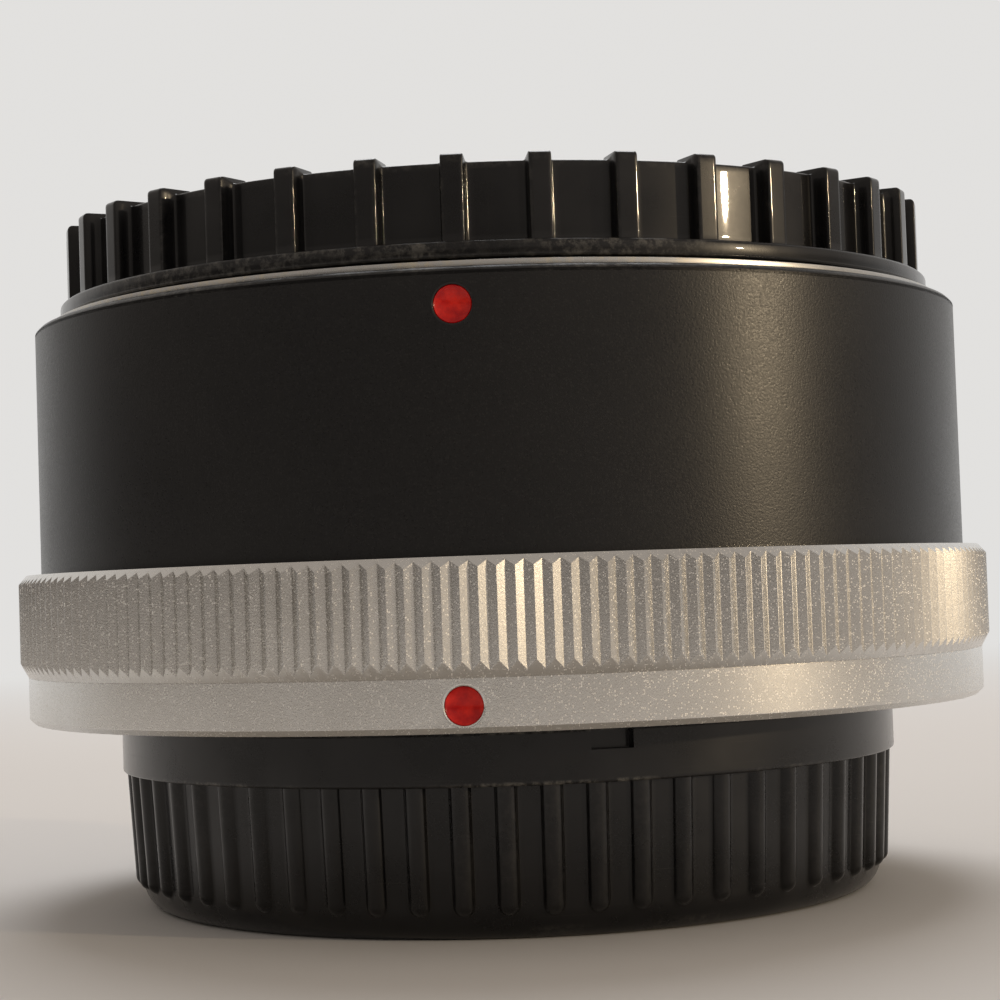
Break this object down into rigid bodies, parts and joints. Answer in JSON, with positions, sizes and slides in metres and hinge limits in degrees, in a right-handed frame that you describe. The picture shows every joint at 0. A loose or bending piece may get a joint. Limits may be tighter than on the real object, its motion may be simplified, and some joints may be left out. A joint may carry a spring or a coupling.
{
  "type": "camera teleconverter",
  "caption": "Short round lens converter with a black barrel, a knurled silver breech-lock ring and two black dust caps, which fits between a reflex camera and its lens.",
  "frame": {"origin": "centre of the rear cap's base, on the optical axis", "axes": "+Z along the optical axis towards the lens side, -Y towards the index dots, +X to their right"},
  "size_m": [0.065, 0.065, 0.0448],
  "materials": {
    "cap_plastic": "moulded, lightly scuffed",
    "barrel_black": "satin black anodised",
    "ring_silver": "bead-blasted satin, knurled",
    "mount_chrome": "satin chrome",
    "index_red": "glossy enamel",
    "inner_black": "flat black",
    "lens_glass": "coated",
    "lever_steel": "bright steel",
    "screw_steel": "plated steel",
    "post_brass": "turned brass"
  },
  "bodies": {
    "rear_cap": {"rear_cap": "cap_plastic"},
    "converter": {"rear_mount": "mount_chrome", "rear_mount_screws": "screw_steel", "locating_pin": "mount_chrome", "rear_mask": "inner_black", "mask_screws": "screw_steel", "rear_frame": "inner_black", "frame_screws": "screw_steel", "ring_stop_screw": "screw_steel", "lens_cell": "inner_black", "cell_lock_ring": "inner_black", "front_element": "lens_glass", "second_element": "lens_glass", "third_element": "lens_glass", "rear_element": "lens_glass", "front_spacer": "inner_black", "rear_spacer": "inner_black", "front_retainer": "inner_black", "rear_retainer": "inner_black", "lower_circlip": "lever_steel", "upper_circlip": "lever_steel", "spring_posts": "post_brass", "diaphragm_spring": "lever_steel", "signal_spring": "lever_steel", "aperture_pin_spring": "lever_steel", "barrel": "barrel_black", "barrel_index_dot": "index_red", "front_baffle": "inner_black", "baffle_screws": "screw_steel", "front_flange": "mount_chrome", "front_flange_screws": "screw_steel"},
    "lock_ring": {"breech_ring": "ring_silver", "ring_index_dot": "index_red", "claw_ring": "mount_chrome", "claw_ring_screws": "screw_steel"},
    "diaphragm_lever": {"diaphragm_ring": "lever_steel", "diaphragm_front_arm": "lever_steel", "diaphragm_rear_arm": "lever_steel", "diaphragm_rivets": "post_brass"},
    "signal_lever": {"signal_ring": "lever_steel", "signal_front_arm": "lever_steel", "signal_rear_arm": "lever_steel", "signal_rivets": "post_brass"},
    "aperture_plunger": {"aperture_pin": "lever_steel"},
    "front_cap": {"front_cap": "cap_plastic"}
  },
  "joints": [
    {"name": "converter_lift", "type": "slide", "parent": "rear_cap", "child": "converter", "axis": [0, 0, 1], "range_m": [0, 0.03]},
    {"name": "ring_turn", "type": "hinge", "parent": "converter", "child": "lock_ring", "pos_m": [0, 0, 0.0184], "axis": [0, 0, 1], "range_deg": [-60, 0]},
    {"name": "diaphragm_turn", "type": "hinge", "parent": "converter", "child": "diaphragm_lever", "pos_m": [0, 0, 0.0236], "axis": [0, 0, 1], "range_deg": [0, 25], "stiffness_Nm_per_rad": 0.02, "springref_deg": -8.59, "deforming": ["diaphragm_spring"]},
    {"name": "signal_turn", "type": "hinge", "parent": "converter", "child": "signal_lever", "pos_m": [0, 0, 0.0259], "axis": [0, 0, 1], "range_deg": [0, 30], "stiffness_Nm_per_rad": 0.02, "springref_deg": -8.59, "deforming": ["signal_spring"]},
    {"name": "plunger_push", "type": "slide", "parent": "converter", "child": "aperture_plunger", "axis": [0, 0, -1], "range_m": [0, 0.002], "stiffness_N_per_m": 40, "springref_m": -0.001, "deforming": ["aperture_pin_spring"]},
    {"name": "front_cap_lift", "type": "slide", "parent": "converter", "child": "front_cap", "axis": [0, 0, 1], "range_m": [0, 0.03]}
  ]
}
